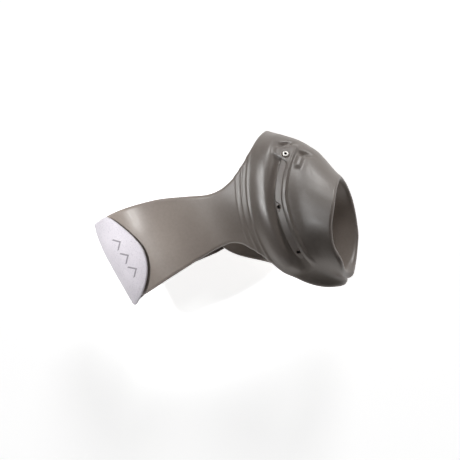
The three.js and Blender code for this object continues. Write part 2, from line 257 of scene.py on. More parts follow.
# ---- mesh building ---------------------------------------------------------------------------
class Sheet:
    """Collects the two faces of a sheet and rounds its borders into one closed mesh."""

    def __init__(self):
        self.points, self.faces, self.count = [], [], 0

    def add(self, pts):
        pts = np.asarray(pts, float).reshape(-1, 3)
        first = self.count
        self.points.append(pts)
        self.count += len(pts)
        return np.arange(first, self.count)

    def skin(self, grid, wrap=False):
        """Quads over a grid of vertex numbers."""
        a, b = (grid, np.roll(grid, -1, 0)) if wrap else (grid[:-1], grid[1:])
        self.faces.append(np.stack([a[:, :-1], b[:, :-1], b[:, 1:], a[:, 1:]], -1).reshape(-1, 4))

    def round_border(self, top, bottom, out, steps=6, bulge=1.0):
        """Closed border loop: top and bottom are vertex numbers, out their outward vectors."""
        pts = np.concatenate(self.points)
        centre = (pts[top] + pts[bottom]) / 2
        half = (pts[top] - pts[bottom]) / 2
        reach = np.linalg.norm(half, axis=1, keepdims=True) * bulge
        rings = [top]
        for k in range(1, steps):
            a = math.pi * k / steps
            rings.append(self.add(centre + half * math.cos(a) + out * reach * math.sin(a)))
        rings.append(bottom)
        for upper, lower in zip(rings[:-1], rings[1:]):
            self.skin(np.stack([upper, lower], 1), wrap=True)

    def mesh(self, name):
        verts = np.concatenate(self.points) * MM
        faces = np.concatenate(self.faces)
        return make_object(name, verts, faces)


def make_object(name, verts, faces, smooth=True):
    """Mesh object from metres, its faces turned to look outwards."""
    mesh = bpy.data.meshes.new(name)
    mesh.from_pydata([tuple(v) for v in verts], [], [tuple(int(i) for i in f) for f in faces])
    shape = bmesh.new()
    shape.from_mesh(mesh)
    bmesh.ops.recalc_face_normals(shape, faces=shape.faces)
    shape.to_mesh(mesh)
    shape.free()
    mesh.polygons.foreach_set("use_smooth", [smooth] * len(mesh.polygons))
    obj = bpy.data.objects.new(name, mesh)
    bpy.context.scene.collection.objects.link(obj)
    return obj


def grid_sheet(name, top, bottom, bulge=1.0, steps=6):
    """Closed sheet from two open grids; its border is rounded outwards."""
    sheet = Sheet()
    rows, cols = top.shape[:2]
    t = sheet.add(top).reshape(rows, cols)
    b = sheet.add(bottom).reshape(rows, cols)
    sheet.skin(t)
    sheet.skin(b)
    ring = lambda g: np.concatenate([g[0, :-1], g[:-1, -1], g[-1, :0:-1], g[:0:-1, 0]])
    pts = np.concatenate(sheet.points)
    loop = (pts[ring(t)] + pts[ring(b)]) / 2
    thick = pts[ring(t)] - pts[ring(b)]
    tangent = unit(np.roll(loop, -1, 0) - np.roll(loop, 1, 0))
    out = unit(np.cross(tangent, thick))
    inside = loop.mean(0)
    out = out * np.sign(((loop - inside) * out).sum())
    sheet.round_border(ring(t), ring(b), out, steps=steps, bulge=bulge)
    return sheet.mesh(name)


# ---- relief of the moulded shell -------------------------------------------------------------
THUMBWARD = np.array([0.34, 0.85, 0.4])
THUMBWARD_BEND = 0.0045
BRIDGE = to_level(np.array([EYELETS["radial"]]), SHELL_OUT)[0]
BRIDGE_WAY = unit(np.array(STAY_PATH[3]) - np.array(STAY_PATH[1]))

# Places along the thumb. A bump is its place, its width on both sides, its height and its power;
# a span is where a plateau starts to rise, is full, starts to fall and is gone.
RIBS = ((26.5, 0.27), (24.1, 0.22), (21.9, 0.14))  # place and height
RIB_WIDTHS = (0.3, 0.6)
LIP = (33.0, 4.6, 2.6, 1.6, 2.6)
GROOVE = (45.6, 2.4, 3.6, -0.35)
FLANK_HEIGHT, FLANK_SPAN = 0.4, (45, 48.5, 50.5, 57.5)

# Places beside the stay's centre line, and along it from the radial eyelet.
CHANNEL_DEPTH, CHANNEL_SPAN = 1.2, (-4.6, -1.9, 0.2, 1.0)
RIDGE_FOOT, RIDGE_LOW, RIDGE_CREST, RIDGE_END = (0.7, 1.1), 1.0, 2.3, 3.4
RIDGE_HEIGHTS = (0.4, 0.8)
SKIRT_HEIGHT, SKIRT_WIDTH = 0.25, 3.2
PAD_HEIGHT, PAD_SPAN = 0.85, (-5.6, -3.4, 1.2, 3.0)
PAD_ENDS, PAD_LEANS = ((-5.8, -3.9), (2.2, 4.4)), (0.42, -0.55)
FOLD_HEIGHT, FOLD_SPAN, FOLD_LENGTH = 0.6, (3.2, 5.2, 5.6, 7.6), (-2.2, -0.8, 3.0, 5.4)
SLOT_DEPTH = 1.3
SLOTS = (((-1.3, -7.2), (2.1, 0.85), 0.4), ((6.3, -3.2), (2.0, 0.9), 0.0))  # centre, half sizes, lean
SEAT_DEPTH, SEAT_RADIUS = 0.7, 1.4


def along_thumb(p):
    return p @ THUMBWARD - THUMBWARD_BEND * (p[..., 0] - 6) ** 2


STAY_X, STAY_W = np.array([(p[0], along_thumb(p)) for p in to_level(STAY_PATH, SHELL_OUT)]).T


def one_sided(x, at, left, right, height, power=2):
    """Bump with its own width on each side; a higher power flattens its top."""
    return height * np.exp(-(np.abs(x - at) / np.where(x < at, left, right)) ** power)


def plateau(x, up_from, up_to, down_from, down_to):
    return smoothstep(up_from, up_to, x) - smoothstep(down_from, down_to, x)


def spot(beside, along, centre, half_sizes):
    """Soft oval bump of height 1."""
    across = (beside - centre[0]) / half_sizes[0]
    lengthwise = (along - centre[1]) / half_sizes[1]
    return np.exp(-across ** 2 - lengthwise ** 2)


def bridge_pad(beside, along):
    """1 on the pad that bridges the channel round the radial eyelet, with leaning ends."""
    (start, full), (fading, end) = PAD_ENDS
    return (smoothstep(start, full, along + PAD_LEANS[0] * beside)
            * (1 - smoothstep(fading, end, along + PAD_LEANS[1] * beside))
            * plateau(beside, *PAD_SPAN))


def stay_bed(beside, along):
    """Channel under the strip, ridge beside it, and the bridge with its fold and slots."""
    channel = -CHANNEL_DEPTH * plateau(beside, *CHANNEL_SPAN)
    low, high = RIDGE_HEIGHTS
    slope = np.clip((beside - RIDGE_LOW) / (RIDGE_CREST - RIDGE_LOW), 0, 1)
    top = (low + (high - low) * slope) * (1 - smoothstep(RIDGE_CREST, RIDGE_END, beside))
    skirt = SKIRT_HEIGHT * np.exp(-(np.maximum(beside - RIDGE_CREST, 0) / SKIRT_WIDTH) ** 2)
    ridge = smoothstep(*RIDGE_FOOT, beside) * (top + skirt)
    pad = bridge_pad(beside, along)
    fold = FOLD_HEIGHT * plateau(beside, *FOLD_SPAN) * plateau(along, *FOLD_LENGTH)
    slots = sum(SLOT_DEPTH * spot(beside, along + lean * beside, centre, sizes)
                for centre, sizes, lean in SLOTS)
    return ((channel + ridge) * (1 - pad) * smoothstep(-7.5, -4, along)
            + PAD_HEIGHT * pad + fold - slots)


def shell_relief(p):
    """Height added to the shell's outer face at p."""
    w = along_thumb(p)
    beside = w - np.interp(p[..., 0], STAY_X, STAY_W)
    along = (p - BRIDGE) @ BRIDGE_WAY
    palmar = 1 - smoothstep(27, 34, p[..., 0])
    radial = smoothstep(17, 27, p[..., 2])
    raised = 0.1 + 0.9 * smoothstep(27, 42, p[..., 2])

    ribs = sum(one_sided(w, at, *RIB_WIDTHS, height) for at, height in RIBS)
    lip = one_sided(w, *LIP) * raised
    seat = SEAT_DEPTH * np.exp(-(np.linalg.norm(p - BRIDGE, axis=-1) / SEAT_RADIUS) ** 8)
    groove = one_sided(w, *GROOVE) * smoothstep(-6, -2, along)
    flank = FLANK_HEIGHT * plateau(w, *FLANK_SPAN) * (1 - smoothstep(2, 12, along))
    return (ribs + lip + stay_bed(beside, along) - seat + groove + flank) * radial * palmar


# ---- moulded shell ---------------------------------------------------------------------------
NECK_CELLS = STATIONS[-1][2]
BAND_ROWS = 110
LINE_CELLS = 16
SHELL_COLUMNS = 152
INNER_STEP = 4  # the plain inner face keeps every fourth column
INSIDE_CUFF = np.array([5.0, 20, 28])


def station_numbers():
    """Places along the free part of the shell; each station has its own number of rows."""
    counts = [rows for _, _, rows in STATIONS[:-1]]
    return np.concatenate([i + np.arange(c) / c for i, c in enumerate(counts)] + [[len(counts)]])


def thumb_rim():
    """Closed loop round the thumb opening."""
    neck = len(STATIONS) - 1 + np.arange(1, NECK_CELLS) * 2 / NECK_CELLS
    points = [rim for rim, _, _ in STATIONS] + [NECK_RIM]
    rim = catmull(points, np.concatenate([station_numbers(), neck]), closed=True)
    return to_level(smooth_loop(to_level(rim, SHELL_MID), 20), SHELL_MID)


def shell_outline(rim):
    """Outer border, set in by half the thickness: free edge, band's sides and end, outward vectors."""
    free = to_level(catmull([edge for _, edge, _ in STATIONS], station_numbers()), SHELL_MID)
    u = np.linspace(0, len(BAND_PROXIMAL) - 1, BAND_ROWS + 1)
    proximal = to_level(catmull(BAND_PROXIMAL, u), SHELL_MID)
    distal = to_level(catmull(BAND_DISTAL, u), SHELL_MID)
    end = line_between(distal[-1], proximal[-1], NECK_CELLS, SHELL_MID)
    loop = np.concatenate([free, distal[1:], end[1:-1], proximal[:0:-1]])
    loop = to_level(smooth_loop(loop, 14), SHELL_MID)
    out = loop_outward(loop, rim.mean(0))
    inset = to_level(loop - out * SHELL_HALF, SHELL_MID)

    first_end = len(free) + BAND_ROWS
    first_proximal = first_end + NECK_CELLS - 1
    proximal = np.concatenate([inset[:1], inset[first_proximal:][::-1]])
    return (inset[:len(free)], inset[len(free) - 1:first_end], inset[first_end:first_proximal],
            proximal, out)


def shell_ring(rim, edge):
    """Grid from the thumb rim to the outer edge along shortest lines."""
    fine = np.linspace(0, LINE_CELLS, 8 * LINE_CELLS + 1)
    places = np.linspace(0, 1, SHELL_COLUMNS + 1)
    lines = geodesics(rim, edge, LINE_CELLS, SHELL_MID)
    ring = to_level(np.stack([respace(catmull(line, fine), places) for line in lines]), SHELL_MID, 2)
    ring[:, 0], ring[:, -1] = rim, edge
    return ring


def shell_band(proximal, distal, end, seam):
    """Grid of the palm band; its last rows are pulled to the rounded end."""
    pulled = 14
    across = np.linspace(0, 1, NECK_CELLS + 1)[None, :, None]
    band = proximal[:, None] + (distal - proximal)[:, None] * across
    last = np.concatenate([proximal[-1:], end[::-1], distal[-1:]])
    pull = smoothstep(BAND_ROWS - pulled, BAND_ROWS, np.arange(BAND_ROWS + 1))[:, None, None]
    band = to_level(band + (last - band[-1]) * pull, SHELL_MID)
    band[0] = seam
    return band


def build_shell():
    rim = thumb_rim()
    free, distal, end, proximal, out = shell_outline(rim)
    rim_out = loop_outward(rim, INSIDE_CUFF)
    seam = line_between(proximal[0], distal[0], NECK_CELLS, SHELL_MID)
    edge = np.concatenate([free, seam[1:-1][::-1]])
    ring = shell_ring(to_level(rim - rim_out * SHELL_HALF, SHELL_MID), edge)
    band = shell_band(proximal, distal, end, seam)

    sheet = Sheet()
    shared = np.array([0] + [len(edge) - j for j in range(1, NECK_CELLS)] + [len(free) - 1])
    borders, rims = [], []
    faces = ((SHELL_OUT, shell_relief, ring), (SHELL_IN, lambda face: 0.0, ring[:, ::INNER_STEP]))
    for level, relief, grid in faces:
        r, b = to_level(grid, level), to_level(band[1:], level)
        r = sheet.add(to_level(r, level + relief(r))).reshape(grid.shape[:2])
        b = sheet.add(to_level(b, level + relief(b))).reshape(BAND_ROWS, NECK_CELLS + 1)
        b = np.vstack([r[shared, -1][None], b])
        sheet.skin(r, wrap=True)
        sheet.skin(b)
        borders.append(np.concatenate([r[:len(free), -1], b[1:, -1], b[-1, -2:0:-1], b[:0:-1, 0]]))
        rims.append(r[:, 0])
    sheet.round_border(*borders, out)
    sheet.round_border(*rims, rim_out)
    return sheet.mesh("moulded_shell")


# ---- stay and eyelets ------------------------------------------------------------------------
STRIP_SEAT, STRIP_TOP, STRIP_BOTTOM = 2.1, 2.42, 1.05
STRIP_LEFT, STRIP_RIGHT = 1.45, 1.1  # half-widths; the right one is tucked under the ridge
STRIP_WIDENING = 0.35
CUT_RADIUS, PIERCING_RADIUS, PIERCING_DEPTH = 1.9, 0.85, 0.75


def stay_line(n):
    path = catmull(STAY_PATH, np.linspace(0, len(STAY_PATH) - 1, 200))
    path = respace(to_level(path, STRIP_SEAT), np.linspace(0, 1, n))
    side = unit(np.cross(unit(gradient(path)), unit(np.gradient(path, axis=0))))
    return path, side * np.sign((side @ THUMBWARD).mean())


def near(points, hole, radius, power):
    return np.exp(-(np.linalg.norm(points - hole, axis=-1) / radius) ** power)


def build_stay():
    """Flat strip, cut away on one side round the middle eyelet and pierced for all three."""
    n = 280
    path, side = stay_line(n)
    u = np.linspace(-1, 1, n)
    end = np.sqrt(np.clip(1 - np.abs(u) ** 24, 0.06, 1))
    holes = {name: to_level(np.array([at], float), STRIP_SEAT)[0] for name, at in EYELETS.items()}
    cut = near(path, holes["middle"], CUT_RADIUS, 6)
    left = (STRIP_LEFT + STRIP_WIDENING * smoothstep(0, 0.4, u)) * end * (1 - 0.9 * cut)
    right = STRIP_RIGHT * end
    across = np.linspace(-1, 1, 37)[None]
    offset = np.where(across < 0, across * left[:, None], across * right[:, None])
    base = path[:, None] + side[:, None] * offset[..., None]
    crown = -0.16 * np.clip((np.abs(across) - 0.7) / 0.3, 0, 1) ** 2
    pierced = sum(near(base, hole, PIERCING_RADIUS, 8) for hole in holes.values())
    top = to_level(base, STRIP_TOP + crown - PIERCING_DEPTH * pierced)
    bottom = to_level(base, np.full(base.shape[:2], STRIP_BOTTOM))
    return grid_sheet("stay_strip", top, bottom, bulge=0.3, steps=5)


def lathe(name, profile, centre, axis, turns=56):
    """Closed body of revolution; profile runs (radius, height) from axis to axis."""
    axis = Vector(axis).normalized()
    turn = axis.to_track_quat("Z", "Y").to_matrix()
    verts, faces, ring_of = [], [], []
    for r, h in profile:
        if r < 1e-6:
            ring_of.append([len(verts)])
            verts.append((0, 0, h))
        else:
            ring_of.append(list(range(len(verts), len(verts) + turns)))
            angles = [2 * math.pi * t / turns for t in range(turns)]
            verts += [(r * math.cos(a), r * math.sin(a), h) for a in angles]
    for a, b in zip(ring_of[:-1], ring_of[1:]):
        for t in range(turns):
            s = (t + 1) % turns
            if len(a) == 1:
                faces.append((a[0], b[t], b[s]))
            elif len(b) == 1:
                faces.append((a[t], b[0], a[s]))
            else:
                faces.append((a[t], b[t], b[s], a[s]))
    world = [tuple((turn @ Vector(v) + Vector(centre)) * MM) for v in verts]
    return make_object(name, world, faces)


def build_eyelet(place, at, seat, outer, bore):
    """Rolled ring round a shallow bore; the bore's faces take the second material, near-black paint as
    the painted shade of a deep hole.
    """
    foot = to_level(np.array([at], float), seat)[0]
    axis = unit(gradient(foot[None]))[0]
    stem_depth, roll_height, bore_depth = -0.9, 0.26, -0.42
    middle = (outer + bore) / 2
    profile = [(0, stem_depth), (outer - 0.16, stem_depth), (outer - 0.04, -0.7), (outer, 0.1)]
    profile += [(middle + (outer - middle) * math.cos(a), 0.14 + roll_height * math.sin(a))
                for a in np.linspace(0.1, math.pi - 0.1, 9)]
    profile += [(bore, 0.05), (bore - 0.02, -0.2), (bore - 0.05, -0.4), (0, bore_depth)]
    obj = lathe("eyelet_" + place, profile, foot, axis)
    for poly in obj.data.polygons:
        off = np.array(poly.center) / MM - foot
        high = float(off @ axis)
        radius = float(np.linalg.norm(off - high * axis))
        in_bore = radius < bore + 0.01 and bore_depth - 0.03 < high < 0.04
        # faces inside the bore take the near-black painted shade
        poly.material_index = 1 if in_bore else 0
    return obj


# ---- strap, tab, patches ---------------------------------------------------------------------
def round_border_point(x, degrees, level):
    """Point of a level, seen from the ulnar axis at an angle above the horizontal."""
    x, degrees, level = np.broadcast_arrays(*(np.asarray(a, float) for a in (x, degrees, level)))
    a = np.radians(degrees)
    way = np.stack([np.zeros_like(a), -np.cos(a), np.sin(a)], -1)
    origin = np.stack([x, np.full_like(x, ULNAR_AXIS[0]), np.full_like(x, ULNAR_AXIS[1])], -1)
    near_end, far_end = np.full(x.shape, 5.0), np.full(x.shape, 45.0)
    for _ in range(26):
        half = (near_end + far_end) / 2
        inside = off_skin(origin + way * half[..., None]) < level
        near_end, far_end = np.where(inside, half, near_end), np.where(inside, far_end, half)
    return origin + way * near_end[..., None]


def crease_x(across):
    return CREASE[0][0] + (CREASE[1][0] - CREASE[0][0]) * across


def crease_point(across, depth, z):
    y = CREASE[0][1] + (CREASE[1][1] - CREASE[0][1]) * across
    return np.stack([crease_x(across), y + depth, np.broadcast_to(z, across.shape)], -1)


def strap_surface(u, across, level):
    """u below 0 is the flat run (down to -1 at its end), above 0 goes round to the crease."""
    depth = STRAP_OUT - level
    y = FOLD_Y + np.clip(-u, 0, 1) * RUN_LENGTH
    left = np.interp(y, *zip(*DORSAL_LEFT))
    right = np.interp(y, *zip(*DORSAL_RIGHT))
    flat = np.stack([left + (right - left) * across, y, depth], -1)

    v = np.clip(u, 0, 1)
    fold_x = FOLD_LEFT + (FOLD_RIGHT - FOLD_LEFT) * across
    x = fold_x + (crease_x(across) - fold_x) * v
    p = round_border_point(x, -90 + (CREASE_ANGLE + 90) * v, level)
    lifted = smoothstep(0, 0.3, v)
    p[..., 2] = depth * (1 - lifted) + p[..., 2] * lifted
    w = smoothstep(0.6, 1, v)[..., None]
    bent = p * (1 - w) + crease_point(across, depth, float(CREASE_Z)) * w
    return np.where((u < 0)[..., None], flat, bent)


ANCHOR_ROWS = (-0.95, -0.70)  # where the strap is sewn to the wing, as u


def build_strap():
    """Elastic web with raised cords along it, drawn in at the two sewn rows."""
    cords, cord_height, row_depth, row_width = 26, 0.07, 0.22, 0.012
    u = np.concatenate([np.linspace(-1, 0, 90), np.linspace(0, 1, 80)[1:]])
    uu, aa = np.meshgrid(u, np.linspace(0.012, 0.988, 121), indexing="ij")
    cord = cord_height * np.cos(2 * np.pi * aa * cords)
    drawn_in = sum(row_depth * np.exp(-((uu - row) / row_width) ** 2) for row in ANCHOR_ROWS)
    outer = strap_surface(uu, aa, STRAP_OUT - cord_height + np.minimum(cord - drawn_in, 0.06))
    inner = strap_surface(uu, aa, STRAP_IN + 0.05 - cord * 0.5)
    return grid_sheet("elastic_strap", outer, inner, bulge=0.5)


def arched(across, proximal, distal, tip, power):
    """Degrees that a rounded flap reaches round the ulnar border."""
    side = proximal + (distal - proximal) * across
    return side + (tip - side) * np.sqrt(np.clip(1 - np.abs(2 * across - 1) ** power, 0, 1))


def flap_surface(u, across, level):
    """Tab surface: u runs from the crease to the rounded tip."""
    degrees = CREASE_ANGLE + (arched(across, *TAB_REACH) - CREASE_ANGLE) * u
    p = round_border_point(crease_x(across), degrees, level)
    at_crease = (1 - smoothstep(CREASE_ANGLE, CREASE_ANGLE + 24, degrees))[..., None]
    return p * (1 - at_crease) + crease_point(across, (FLAP_LIFT - level) * 0.9, p[..., 2]) * at_crease


def build_tab():
    side = 0.5 - 0.5 * np.cos(np.pi * np.linspace(0.02, 0.98, 110))
    uu, aa = np.meshgrid(np.linspace(0, 1, 100), side, indexing="ij")
    from_border = np.minimum(np.minimum(aa, 1 - aa) * 34, (1 - uu) * 24)  # about mm
    pillow = 0.28 * smoothstep(0, 3.2, from_border) - 0.1
    fuzz = 0.03 * np.sin(uu * 173 + 3 * np.sin(aa * 91)) * np.sin(aa * 211 + 2 * np.sin(uu * 87))
    outer = flap_surface(uu, aa, TAB_OUT + pillow + fuzz)
    inner = flap_surface(uu, aa, TAB_IN + 0 * uu)
    return grid_sheet("closure_tab_fabric", outer, inner, bulge=0.75, steps=7)


def patch_points(sides, start, reach, uu, aa, level):
    x = sides[0] + (sides[1] - sides[0]) * aa
    return round_border_point(x, start + (arched(aa, *reach) - start) * uu, level)


HOOK_SIDES, HOOK_START = (-22, 4), 24
LOOP_SIDES, LOOP_START = (-23, 4), 31


def build_hook_patch():
    uu, aa = np.meshgrid(np.linspace(0, 1, 24), np.linspace(0.01, 0.99, 60), indexing="ij")
    top, bottom = (patch_points(HOOK_SIDES, HOOK_START, HOOK_REACH, uu, aa, level)
                   for level in (3.28, 3.02))
    return grid_sheet("hook_backing", top, bottom, bulge=0.5, steps=4)


def build_hooks():
    """Rows of small mushroom heads under the tab, in one mesh."""
    verts, faces = [], []
    turns, height, level, pitch_x, pitch_degrees, stagger = 6, 0.35, 3.06, 1.15, 3.2, 1.6
    profile = [(0.12, 0.0), (0.11, 0.6), (0.24, 0.7), (0.2, 0.92)]  # radius, share of the height
    last_ring = (len(profile) - 1) * turns
    angles = [2 * math.pi * t / turns for t in range(turns)]
    columns = np.arange(HOOK_SIDES[0] + 0.9, HOOK_SIDES[1] - 0.5, pitch_x)
    for col, x in enumerate(columns):
        share = (x - HOOK_SIDES[0]) / (HOOK_SIDES[1] - HOOK_SIDES[0])
        top = float(arched(np.array(share), *HOOK_REACH))
        degrees = np.arange(HOOK_START + 2 + (col % 2) * stagger, top - 1.5, pitch_degrees)
        feet = round_border_point(np.full(len(degrees), x), degrees, level)
        for foot, down in zip(feet, -unit(gradient(feet))):
            side = unit(np.cross(down, (1, 0, 0)))
            other = np.cross(down, side)
            first = len(verts)
            for r, h in profile:
                centre = foot + down * h * height
                verts += [centre + (side * math.cos(a) + other * math.sin(a)) * r for a in angles]
            base, tip = len(verts), len(verts) + 1
            verts += [foot, foot + down * height]
            last = first + last_ring
            for t in range(turns):
                s = (t + 1) % turns
                for a in range(first, last, turns):
                    faces.append((a + t, a + s, a + turns + s, a + turns + t))
                faces += [(last + t, last + s, tip), (first + s, first + t, base)]
    return make_object("hook_heads", np.array(verts) * MM, faces)


def build_loop_patch():
    rng = np.random.default_rng(7)
    uu, aa = np.meshgrid(np.linspace(0, 1, 60), np.linspace(0.01, 0.99, 120), indexing="ij")
    fuzz = 0.06 * rng.standard_normal(uu.shape)
    fuzz = (fuzz + np.roll(fuzz, 1, 0) + np.roll(fuzz, 1, 1)) / 1.7
    top, bottom = (patch_points(LOOP_SIDES, LOOP_START, LOOP_REACH, uu, aa, level)
                   for level in (2.62 + np.clip(fuzz, -0.12, 0.12), 2.25))
    return grid_sheet("loop_pile", top, bottom, bulge=0.6, steps=5)


def thread(name, points, ups, length, radius=0.22):
    """Row of sunk stitches along a line, as one mesh of short rounded bars."""
    gap, turns, rings = 0.45, 8, 9
    total = np.linalg.norm(np.diff(points, axis=0), axis=1).sum()
    count = max(2, int(total / (length + gap)))
    angles = [2 * math.pi * t / turns for t in range(turns)]
    verts, faces = [], []
    for i in range(count):
        middle = (i + 0.5) / count
        shares = middle + np.linspace(-0.5, 0.5, rings) * length / total
        line = respace(points, np.clip(shares, 0, 1))
        up_places = np.linspace(0, 1, len(ups))
        up = unit(np.array([np.interp(middle, up_places, ups[:, k]) for k in range(3)]))
        side = unit(np.cross(up, unit(line[-1] - line[0])))
        first = len(verts)
        for centre, s in zip(line, np.linspace(-1, 1, rings)):
            r = radius * math.sqrt(max(0.03, 1 - abs(s) ** 4))
            sink = -0.56 * radius * abs(s) ** 3
            verts += [centre + up * (sink + r * math.sin(a)) + side * r * math.cos(a) for a in angles]
        for a in range(first, first + (rings - 1) * turns, turns):
            for t in range(turns):
                n = (t + 1) % turns
                faces.append((a + t, a + n, a + turns + n, a + turns + t))
        faces.append(tuple(first + t for t in range(turns))[::-1])
        faces.append(tuple(first + (rings - 1) * turns + t for t in range(turns)))
    return make_object(name, np.array(verts) * MM, faces)


def strap_line(start, end, n=60):
    """Line on the strap between two places given as (u, across)."""
    (u0, across0), (u1, across1) = start, end
    t = np.linspace(0, 1, n)
    return strap_surface(u0 + (u1 - u0) * t, across0 + (across1 - across0) * t,
                         np.full(n, STRAP_OUT - 0.02))


def build_anchor_stitching():
    """Box with a cross where the strap is sewn to the wing."""
    (lo, hi), left, right = ANCHOR_ROWS, 0.12, 0.88
    lines = {
        "outer": ((lo, left), (lo, right)), "inner": ((hi, left), (hi, right)),
        "left": ((lo, left), (hi, left)), "right": ((lo, right), (hi, right)),
        "cross_a": ((lo, left), (hi, right)), "cross_b": ((lo, right), (hi, left)),
    }
    down = np.tile([0.0, 0, -1], (60, 1))
    return [thread("anchor_stitches_" + name, strap_line(*ends), down, length=1.9)
            for name, ends in lines.items()]


def build_tab_stitching():
    n = 80
    across = np.linspace(0.05, 0.95, n)
    rows = []
    for i, u in enumerate((0.1, 0.16)):
        line = flap_surface(np.full(n, u), across, np.full(n, TAB_OUT + 0.2))
        ups = unit(gradient(line))
        ups[:, 0] *= 0.2
        rows.append(thread(f"tab_seam_stitches_{i}", line, unit(ups), length=1.7, radius=0.2))
    return rows


def build_mark():
    """Three plain chevrons that point to the free end of the tab, each one closed bar."""
    verts, faces = [], []
    shares = np.linspace(-1, 1, 25)
    half_width, tip, fall, stroke = 2.3, 56, 9, 1.5  # x in mm, the rest in degrees round the border
    for centre in (-14.6, -8.6, -2.6):
        first = len(verts)
        for level in (5.0, 4.84):
            for share in shares:
                for edge in (-stroke, stroke):
                    verts.append((centre + half_width * share, tip - fall * abs(share) + edge, level))
        top, low = np.arange(first, len(verts)).reshape(2, len(shares), 2)
        for k in range(len(shares) - 1):
            faces += [(top[k, 0], top[k + 1, 0], top[k + 1, 1], top[k, 1]),
                      (low[k, 1], low[k + 1, 1], low[k + 1, 0], low[k, 0]),
                      (top[k, 1], top[k + 1, 1], low[k + 1, 1], low[k, 1]),
                      (top[k + 1, 0], top[k, 0], low[k, 0], low[k + 1, 0])]
        faces += [(top[0, 0], top[0, 1], low[0, 1], low[0, 0]),
                  (top[-1, 1], top[-1, 0], low[-1, 0], low[-1, 1])]
    x, degrees, level = np.array(verts).T
    points = round_border_point(x, degrees, level) * MM
    return make_object("tab_chevrons", points, faces, smooth=False)


# ---- materials -------------------------------------------------------------------------------
def srgb(r, g, b):
    """Linear colour of an sRGB triple, 0 to 255."""
    lin = [((c / 255 + 0.055) / 1.055) ** 2.4 if c > 10 else c / 255 / 12.92 for c in (r, g, b)]
    return (*lin, 1.0)


def grey(value):
    return (value, value, value, 1)


def is_socket(value):
    return hasattr(value, "links")


class Nodes:
    """Small wrapper that adds and links shader nodes."""

    def __init__(self, name):
        self.material = bpy.data.materials.new(name)
        self.material.use_nodes = True
        self.tree = self.material.node_tree
        self.surface = self.tree.nodes["Principled BSDF"]
        coords = self.tree.nodes.new("ShaderNodeTexCoord")
        self.where = coords.outputs["Object"]

    def add(self, kind, **values):
        node = self.tree.nodes.new(kind)
        for key, value in values.items():
            if hasattr(node, key):
                setattr(node, key, value)
            else:
                node.inputs[key.replace("_", " ")].default_value = value
        return node

    def link(self, source, target):
        self.tree.links.new(source, target)

    def noise(self, scale, detail=3.0, rough=0.5, stretch=None):
        node = self.add("ShaderNodeTexNoise", Scale=scale, Detail=detail, Roughness=rough)
        if stretch:
            mapping = self.add("ShaderNodeMapping")
            mapping.inputs["Scale"].default_value = stretch
            self.link(self.where, mapping.inputs["Vector"])
            self.link(mapping.outputs["Vector"], node.inputs["Vector"])
        else:
            self.link(self.where, node.inputs["Vector"])
        return node.outputs["Fac"]

    def ramp(self, source, *stops):
        node = self.add("ShaderNodeValToRGB")
        ramp = node.color_ramp
        while len(ramp.elements) < len(stops):
            ramp.elements.new(0.5)
        for element, (at, colour) in zip(ramp.elements, stops):
            element.position = at
            element.color = colour
        self.link(source, node.inputs["Fac"])
        return node.outputs["Color"]

    def tones(self, source, dark, light):
        """Colours from dark to light over the middle of a noise."""
        return self.ramp(self.remap(source, 0, 1), (0.0, dark), (1.0, light))

    def remap(self, source, lo, hi, from_lo=0.3, from_hi=0.7):
        node = self.add("ShaderNodeMapRange")
        node.inputs["From Min"].default_value = from_lo
        node.inputs["From Max"].default_value = from_hi
        node.inputs["To Min"].default_value = lo
        node.inputs["To Max"].default_value = hi
        self.link(source, node.inputs["Value"])
        return node.outputs["Result"]

    def mix(self, share, a, b, blend="MIX"):
        node = self.add("ShaderNodeMix", data_type="RGBA", blend_type=blend)
        for key, value in ((0, share), (6, a), (7, b)):
            if is_socket(value):
                self.link(value, node.inputs[key])
            else:
                node.inputs[key].default_value = value
        return node.outputs[2]

    def bumps(self, layers):
        """Chain of bump nodes from (height source, distance in metres, strength)."""
        normal = None
        for height, distance, strength in layers:
            node = self.add("ShaderNodeBump", Strength=strength, Distance=distance)
            self.link(height, node.inputs["Height"])
            if normal:
                self.link(normal, node.inputs["Normal"])
            normal = node.outputs["Normal"]
        self.link(normal, self.surface.inputs["Normal"])

    def set(self, **values):
        for key, value in values.items():
            name = key.replace("_", " ")
            if is_socket(value):
                self.link(value, self.surface.inputs[name])
            else:
                self.surface.inputs[name].default_value = value


def elastomer(name, dark, light, rough=0.38):
    n = Nodes(name)
    broad = n.noise(55, 2.0)
    fine = n.noise(900, 4.0, 0.6)
    grain = n.noise(5200, 2.0, 0.6)
    shade = n.tones(fine, grey(0.94), grey(1.03))
    n.set(Base_Color=n.mix(1.0, n.tones(broad, dark, light), shade, "MULTIPLY"),
          Roughness=n.remap(fine, rough - 0.05, rough + 0.07), Specular_IOR_Level=0.45)
    n.bumps([(grain, 0.00003, 0.35), (fine, 0.00008, 0.25)])
    return n.material


def metal(name, colour, rough, metallic):
    n = Nodes(name)
    brushed = n.noise(1500, 3.0, 0.6, stretch=(0.3, 3.0, 1.0))
    dark = (*(c * 0.86 for c in colour[:3]), 1)
    n.set(Base_Color=n.tones(brushed, dark, colour), Metallic=metallic,
          Roughness=n.remap(brushed, rough, rough + 0.14))
    n.bumps([(brushed, 0.00002, 0.3)])
    return n.material


# Near-black colour for the shallow eyelet bores: painted shade standing in for the shade inside a deep
# hole.
def painted_shade_black(name):
    n = Nodes(name)
    grain = n.noise(2500)
    tone = n.ramp(grain, (0.0, grey(0.004)), (1.0, (0.012, 0.011, 0.01, 1)))
    n.set(Base_Color=tone, Roughness=0.8, Specular_IOR_Level=0.1)
    n.bumps([(grain, 0.00002, 0.2)])
    return n.material


